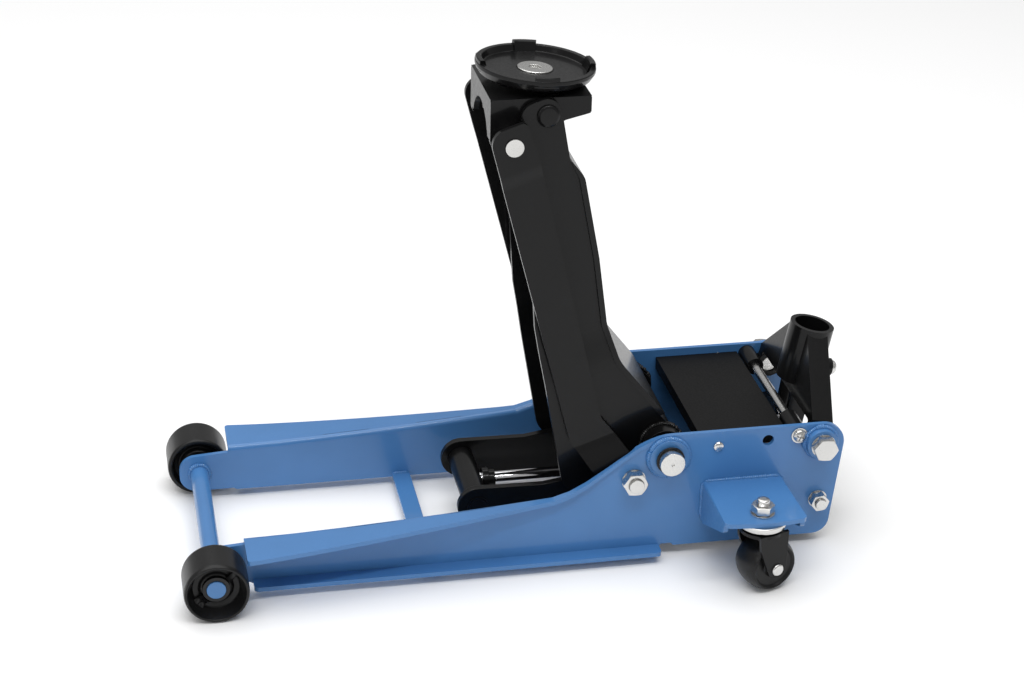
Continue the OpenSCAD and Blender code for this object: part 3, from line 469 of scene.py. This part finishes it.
# %% Which edges are press folds
def flange_fold(edge):
    """The inner top edge of a side frame, where the flange is folded outward."""
    a, b = edge.link_faces
    if abs(a.normal.z) < abs(b.normal.z):
        a, b = b, a
    middle = (edge.verts[0].co + edge.verts[1].co) / 2
    inner = abs(abs(middle.y) - web_inside) < 0.0004
    top = a.normal.z > 0.6 and abs(b.normal.y) > 0.9
    return inner and top and middle.z > axle_z + 0.025 and middle.x < link_bolt_at.x


def bracket_fold(edge):
    """The edges of a caster bracket where its two sides are folded down."""
    a, b = edge.link_faces
    if abs(a.normal.z) < abs(b.normal.z):
        a, b = b, a
    return a.normal.z > 0.9 and abs(b.normal.x) > 0.9 and edge.calc_length() > 0.03


# %% Soften every exact piece that keeps its shape
common_edge_mm = 0.5
edge_mm = {"saddle": 0.7, "saddle_carrier": 1.6, "handle_socket": 1.6, "pump_block": 2.0,
           "top_cover": 0.5, "pump_spring": 0, "crosshead_bar": 1.0, "arm_back": 1.0}
for pair, width in (("side_frame", 0.9), ("arm_wall", 0.9), ("caster_bracket", 0.9),
                    ("level_link", 1.0), ("ram_plate", 1.0)):
    edge_mm[pair + "_near"] = edge_mm[pair + "_far"] = width
remade = ["front_wheel_near", "front_wheel_far", "link_nuts", "base_nuts", "handle_bolts",
          "kingpins"]
flange_fold_mm, bracket_fold_mm = 5.5, 3.5
for node in frame["nodes"]:
    width = edge_mm.get(node, common_edge_mm)
    if not width or node in remade:
        continue
    if node.startswith("side_frame"):
        print(node, "folds", soft_copy(node, width, flange_fold, flange_fold_mm))
    elif node.startswith("caster_bracket"):
        print(node, "folds", soft_copy(node, width, bracket_fold, bracket_fold_mm))
    else:
        soft_copy(node, width)
bpy.data.objects["soft_top_cover"].data.materials[0] = flat_black
for name, obj in frame["nodes"].items():
    obj.data.materials.clear()
    obj.data.materials.append(finishes[slot_of_node[name]])

# %% [markdown]
# ## Turned pieces
# Wheels and washers are turned or cast about an axis, so each is one profile spun round.
# A profile lists distance from the axis and distance along it, and short arcs at its
# corners stand for the radius a mould or a tool leaves.

# %% Spin a profile
def spin(name, profile, at, along, steps=96):
    """A closed ring: profile holds (radius, distance along) pairs in metres."""
    axis = Vector(along).normalized()
    side = axis.orthogonal().normalized()
    other = axis.cross(side)
    work = bmesh.new()
    rings = []
    for i in range(steps):
        angle = 2 * math.pi * i / steps
        spoke = side * math.cos(angle) + other * math.sin(angle)
        rings.append([work.verts.new(Vector(at) + spoke * r + axis * d) for r, d in profile])
    for i in range(steps):
        here, there = rings[i], rings[(i + 1) % steps]
        for k in range(len(profile)):
            m = (k + 1) % len(profile)
            work.faces.new((here[k], there[k], there[m], here[m]))
    bmesh.ops.recalc_face_normals(work, faces=work.faces)
    return new_piece(name, work)


def eased(points, radius, steps=4):
    """The same closed outline with every corner cut to a small arc."""
    out = []
    for i, here in enumerate(points):
        before, after = Vector(points[i - 1]), Vector(points[(i + 1) % len(points)])
        here = Vector(here)
        reach = min(radius, (before - here).length * 0.45, (after - here).length * 0.45)
        start = here + (before - here).normalized() * reach
        end = here + (after - here).normalized() * reach
        for k in range(steps + 1):
            t = k / steps
            out.append(tuple(start * (1 - t) ** 2 + here * 2 * t * (1 - t) + end * t ** 2))
    return out


# %% [markdown]
# ## Front wheels
# The front wheels are heavy cast nylon: a plain tread with rounded shoulders, a deep dished
# face, a hub round the axle and three thick ribs that tie the hub to the rim. The dish is
# one spun profile; each rib is a small block swept from hub to rim and sunk in the dish.

# %% Front wheels
def join_meshes(name, pieces):
    work = bmesh.new()
    for piece in pieces:
        work.from_mesh(piece.data)
        bpy.data.objects.remove(piece)
    return new_piece(name, work)


def rib(name, at, along, angle, inner, outer, width, low, high):
    axis = Vector(along).normalized()
    side = Vector((math.cos(angle), 0, math.sin(angle)))
    cross = axis.cross(side)
    work = bmesh.new()
    steps = 10
    rows = []
    for i in range(steps + 1):
        t = i / steps
        reach = inner + (outer - inner) * t
        dip = high - 0.003 * math.sin(math.pi * t)
        half = width / 2 * (1 + 0.5 * (2 * t - 1) ** 2)
        section = ((-half * 1.25, low), (-half, dip - 0.001), (-half * 0.6, dip),
                   (half * 0.6, dip), (half, dip - 0.001), (half * 1.25, low))
        rows.append([work.verts.new(Vector(at) + side * reach + cross * y + axis * d)
                     for y, d in section])
    for a, b in zip(rows, rows[1:]):
        for k in range(6):
            m = (k + 1) % 6
            work.faces.new((a[k], b[k], b[m], a[m]))
    work.faces.new(rows[0])
    work.faces.new(list(reversed(rows[-1])))
    bmesh.ops.recalc_face_normals(work, faces=work.faces)
    return new_piece(name, work)


def front_wheel(node, side):
    low, high = (Vector(corner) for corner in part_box(node))
    radius = (high.z - low.z) / 2
    width = high.y - low.y
    inner_y = high.y if side < 0 else low.y
    bore = 0.0101
    outline = [(bore, 0.006), (0.0170, 0.006), (0.0200, 0.012), (radius - 0.0075, 0.010),
               (radius - 0.0050, 0.0006), (radius - 0.0008, 0.0003), (radius, 0.003),
               (radius, width - 0.0035), (radius - 0.0012, width), (radius - 0.0035, width),
               (radius - 0.0065, width - 0.008), (radius - 0.0095, width - 0.0165),
               (0.0185, width - 0.0175), (0.0160, width - 0.0145), (bore, width - 0.0145)]
    at, along = (axle_x, inner_y, axle_z), (0, side, 0)
    body = spin("wheel_body", eased(outline, 0.0016), at, along, 128)
    ribs = [rib("wheel_rib", at, along, math.radians(degrees), 0.0155, radius - 0.0060, 0.006,
                width - 0.0195, width - 0.0105) for degrees in (35, 215, 230)]
    wheel = join_meshes("wheel_" + node, [body] + ribs)
    shade(wheel, "nylon", body_of_node[node])
    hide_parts(node)
    return wheel


for node, side in (("front_wheel_near", -1), ("front_wheel_far", 1)):
    print(front_wheel(node, side).name)

# %% [markdown]
# ## Bolts and nuts
# A real hexagon nut has its corners turned off at 30 degrees, which leaves a round bright
# ring on its face and six curved edges. That comes from lowering each point of the hexagon's
# rim by how far it stands outside the ring. Studs stand out of the nuts with a rounded nose
# and a few turns of thread.

# %% Hexagon heads and nuts
def hexagon(name, at, along, flats, height, bore=0.0, turn=0.0, both_ends=True):
    axis = Vector(along).normalized()
    side = axis.orthogonal().normalized()
    other = axis.cross(side)
    ring = flats / 2 * 0.96
    drop = math.tan(math.radians(30))
    work = bmesh.new()
    columns = []
    count = 96
    for i in range(count):
        angle = 2 * math.pi * i / count
        within = (angle + math.pi / 6) % (math.pi / 3) - math.pi / 6
        reach = flats / 2 / math.cos(within)
        spoke = side * math.cos(angle + turn) + other * math.sin(angle + turn)
        low = (reach - ring) * drop if both_ends else 0.0
        high = height - (reach - ring) * drop
        column = [(ring, 0.0), (reach, low), (reach, high), (ring, height)]
        if bore:
            column = [(bore, 0.0)] + column + [(bore + 0.0006, height), (bore, height - 0.0006)]
        else:
            column = [(0.0, 0.0)] + column + [(0.0, height)]
        columns.append([work.verts.new(Vector(at) + spoke * r + axis * d) for r, d in column])
    for i in range(count):
        here, there = columns[i], columns[(i + 1) % count]
        last = len(here) if bore else len(here) - 1
        for k in range(last):
            m = (k + 1) % len(here)
            work.faces.new((here[k], there[k], there[m], here[m]))
    bmesh.ops.remove_doubles(work, verts=work.verts, dist=0.000001)
    bmesh.ops.dissolve_degenerate(work, edges=work.edges, dist=0.000001)
    bmesh.ops.recalc_face_normals(work, faces=work.faces)
    for edge in work.edges:
        if len(edge.link_faces) == 2 and edge.calc_face_angle() > math.radians(22):
            edge.smooth = False
    return new_piece(name, work)


def stud(name, at, along, radius, start, end, pitch=0.0015, thread=0.006):
    """A bolt shank with a rounded nose and turns of thread just behind it."""
    nose = 0.0016
    outline = [(0.0, start), (radius, start)]
    first = max(start + 0.0005, end - nose - thread)
    turns = int((end - nose - first) / pitch)
    for i in range(turns):
        d = first + i * pitch
        outline += [(radius, d), (radius - 0.0007, d + pitch * 0.5)]
    outline += [(radius, first + turns * pitch)]
    for i in range(6):
        a = math.pi / 2 * i / 5
        reach = radius * 0.35 + (radius * 0.65 - 0.0002) * math.cos(a)
        outline.append((max(0.0, reach), end - nose + nose * math.sin(a)))
    outline.append((0.0, end))
    piece = spin(name, outline, at, along, 64)
    work = bmesh.new()
    work.from_mesh(piece.data)
    bmesh.ops.remove_doubles(work, verts=work.verts, dist=0.000001)
    bmesh.ops.dissolve_degenerate(work, edges=work.edges, dist=0.000001)
    bmesh.ops.recalc_face_normals(work, faces=work.faces)
    work.to_mesh(piece.data)
    work.free()
    return piece


def washer(name, at, along, bore, outside, start, end):
    outline = [(bore, start), (outside, start), (outside, end), (bore, end)]
    return spin(name, eased(outline, 0.0004, 2), at, along, 72)


# %% Fasteners on the side frames
def two_sides(node, make):
    """Builds a fastener on both sides and lets the pair stand for its CAD node."""
    parts = []
    for side in (-1, 1):
        parts += make(side)
    pair = join_meshes("turned_" + node, parts)
    shade(pair, "zinc", body_of_node[node])
    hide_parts(node)
    return pair


def link_nut(side):
    at, along = (link_bolt_at.x, side * web_outside, link_bolt_at.z), (0, side, 0)
    return [washer("w", at, along, 0.00805, 0.013, 0.00005, 0.002),
            hexagon("n", (at[0], side * (web_outside + 0.00205), at[2]), along,
                    0.024, 0.0115, 0.00805, 0.3 * side)]


def base_nut(side):
    at, along = (base_bolt_at.x, side * web_outside, base_bolt_at.z), (0, side, 0)
    return [washer("w", at, along, 0.00605, 0.0105, 0.00005, 0.002),
            hexagon("n", (at[0], side * (web_outside + 0.00205), at[2]), along,
                    0.018, 0.0105, 0.00605, 0.12 * side)]


def handle_bolt(side):
    start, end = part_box("pivot_bosses")[1][1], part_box("handle_bolts")[1][1]
    at, along = (handle_at.x, 0, handle_at.z), (0, side, 0)
    return [washer("w", at, along, 0.0088, 0.0135, start + 0.00005, start + 0.002),
            hexagon("n", (at[0], side * (start + 0.0021), at[2]), along,
                    0.024, end - start - 0.0022, 0.0, 0.35 * side, False),
            stud("s", at, along, 0.009, web_inside - 0.0129, end - 0.004, thread=0.002)]


for node, make in (("link_nuts", link_nut), ("base_nuts", base_nut),
                   ("handle_bolts", handle_bolt)):
    print(two_sides(node, make).name)


# %% Kingpins
def kingpin(side):
    low, high = (Vector(corner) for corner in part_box("kingpins"))
    x, y = centre("kingpins").x, side * (high.y - 0.013)
    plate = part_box("caster_bracket_near")[1][2]
    return [stud("s", (x, y, 0), (0, 0, 1), 0.007, low.z + 0.004, high.z, thread=0.009),
            washer("h", (x, y, 0), (0, 0, 1), 0.002, 0.011, low.z, low.z + 0.0074),
            washer("w", (x, y, 0), (0, 0, 1), 0.0069, 0.013, plate + 0.00005, plate + 0.002),
            hexagon("n", (x, y, plate + 0.00205), (0, 0, 1), 0.022, 0.0095, 0.0069, 0.5 * side)]


print(two_sides("kingpins", kingpin).name)

# %% [markdown]
# ## Weld beads
# The frames, brackets and bosses are welded, and the beads are the roughest thing on the
# jack. A bead is a flattened tube laid along a seam: its radius swells and sinks a little
# with each ripple, and a fixed random seed makes no two ripples alike.

# %% Lay a bead
def bead(name, path, radius, slot_name, body, closed=False, seed=1, ripple=0.0022):
    chance = random.Random(seed)
    points = [Vector(p) for p in path]
    if closed:
        points.append(points[0])
    spaced = [points[0]]
    for a, b in zip(points, points[1:]):
        pieces = max(1, round((b - a).length / 0.0006))
        spaced += [a.lerp(b, (i + 1) / pieces) for i in range(pieces)]
    if closed:
        spaced.pop()
    count = len(spaced)
    work = bmesh.new()
    rings = []
    travelled = 0.0
    swell = chance.uniform(0.85, 1.1)
    for i, here in enumerate(spaced):
        after = spaced[(i + 1) % count] if closed or i + 1 < count else here
        before = spaced[i - 1] if closed or i else here
        way = (after - before).normalized()
        flat = way.orthogonal().normalized()
        upright = way.cross(flat)
        travelled += (here - before).length
        phase = (travelled % ripple) / ripple
        if phase < 0.3 and chance.random() < 0.3:
            swell = chance.uniform(0.75, 1.25)
        size = radius * swell * (0.84 + 0.26 * math.sin(math.pi * phase))
        if not closed:
            size *= min(1.0, 0.35 + 0.65 * min(i, count - 1 - i) / 5)
        rings.append([work.verts.new(here + (flat * math.cos(t) + upright * math.sin(t)) * size)
                      for t in (2 * math.pi * k / 10 for k in range(10))])
    for a, b in zip(rings, rings[1:] + (rings[:1] if closed else [])):
        shift = min(range(10), key=lambda k: (a[0].co - b[k].co).length)
        for k in range(10):
            work.faces.new((a[k], a[(k + 1) % 10], b[(k + 1 + shift) % 10], b[(k + shift) % 10]))
    if not closed:
        work.faces.new(list(reversed(rings[0])))
        work.faces.new(rings[-1])
    bmesh.ops.recalc_face_normals(work, faces=work.faces)
    piece = new_piece(name, work)
    shade(piece, slot_name, body)
    return piece


def ring_path(x, y, z, radius, count=60):
    turns = [math.radians(360 * i / count) for i in range(count)]
    return [(x + radius * math.cos(t), y, z + radius * math.sin(t)) for t in turns]


# %% Beads on the blue frames
def frame_beads(side):
    out, inside = side * web_outside, side * (web_inside - 0.0008)
    face = out + side * 0.0008
    low, high = (Vector(corner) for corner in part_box("caster_bracket_near"))
    strap_low, strap_high = (Vector(corner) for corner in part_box("cross_strap"))
    tag = "near" if side < 0 else "far"

    def lay(seam, path, radius, seed, closed=False):
        return bead("bead_" + seam + "_" + tag, path, radius, "blue_paint", "frame", closed, seed)

    return [
        lay("boss", ring_path(pivot_at.x, out + side * 0.0012, pivot_at.z, 0.0222),
            0.0024, 3, True),
        lay("socket_boss", ring_path(handle_at.x, out + side * 0.0012, handle_at.z, 0.0178),
            0.0026, 5, True),
        lay("bracket_top", [(low.x + 0.003, face, high.z + 0.0002),
                            (high.x - 0.003, face, high.z + 0.0002)], 0.0022, 7),
        lay("bracket_front", [(low.x, face, high.z - 0.002), (low.x, face, low.z + 0.003)],
            0.0022, 8),
        lay("bracket_rear", [(high.x, face, high.z - 0.002), (high.x, face, low.z + 0.003)],
            0.0022, 9),
        lay("axle", ring_path(axle_x, inside, axle_z, 0.0108), 0.0024, 11, True),
        lay("strap", [(strap_low.x + 0.001, inside, strap_high.z),
                      (strap_high.x - 0.001, inside, strap_high.z)], 0.0020, 13)]


laid = frame_beads(-1) + frame_beads(1)
print("beads on the frames", len(laid))


# %% Beads on the black arm
sleeve_at = centre("arm_sleeve")
wall_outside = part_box("arm_wall_far")[1][1]
for side, tag in ((-1, "near"), (1, "far")):
    seam = ring_path(sleeve_at.x, side * (wall_outside + 0.0010), sleeve_at.z, 0.0225)
    bead("bead_sleeve_" + tag, seam, 0.0024, "black_paint", "lifting_arm", True, 21)
print("sleeve beads at", round(wall_outside, 4))

# %% [markdown]
# ## Studio
# A pale seamless floor and three lamps: a large soft one overhead for the broad light, a
# small one low on the left, and a narrow strip in front and above, whose reflection draws
# the long edges of the frames.

# %% Floor and backdrop
def make_floor():
    material = bpy.data.materials.new("studio floor")
    material.use_nodes = True
    shader = material.node_tree.nodes["Principled BSDF"]
    shader.inputs["Base Color"].default_value = (0.96, 0.96, 0.96, 1)
    shader.inputs["Roughness"].default_value = 0.9
    work = bmesh.new()
    bmesh.ops.create_grid(work, x_segments=8, y_segments=8, size=12)
    floor = new_piece("studio_floor", work)
    floor.location.z = -0.3 * MM
    floor.data.materials.append(material)
    return floor


floor = make_floor()
print("floor", floor.dimensions.x, "m across")


# %% Lamps
lamps_aim = Vector((0, 0, 0.15))


def soft_lamp(name, place, size, power):
    data = bpy.data.lights.new(name, "AREA")
    data.shape = "RECTANGLE"
    data.size, data.size_y = size
    data.energy = power
    lamp = bpy.data.objects.new(name, data)
    bpy.context.scene.collection.objects.link(lamp)
    lamp.location = place
    lamp.rotation_euler = (lamps_aim - Vector(place)).to_track_quat("-Z", "Y").to_euler()
    return lamp


soft_lamp("overhead lamp", (-0.4, 0.3, 3.6), (5.0, 5.0), 132)
soft_lamp("left lamp", (-2.2, -1.7, 1.5), (0.4, 0.4), 5)
soft_lamp("strip lamp", (0.1, -1.4, 2.7), (2.6, 0.10), 24)
world = bpy.data.worlds.new("studio air")
bpy.context.scene.world = world
world.use_nodes = True
world.node_tree.nodes["Background"].inputs["Color"].default_value = (1, 1, 1, 1)
world.node_tree.nodes["Background"].inputs["Strength"].default_value = 0.42
bpy.context.scene.view_settings.view_transform = "Standard"
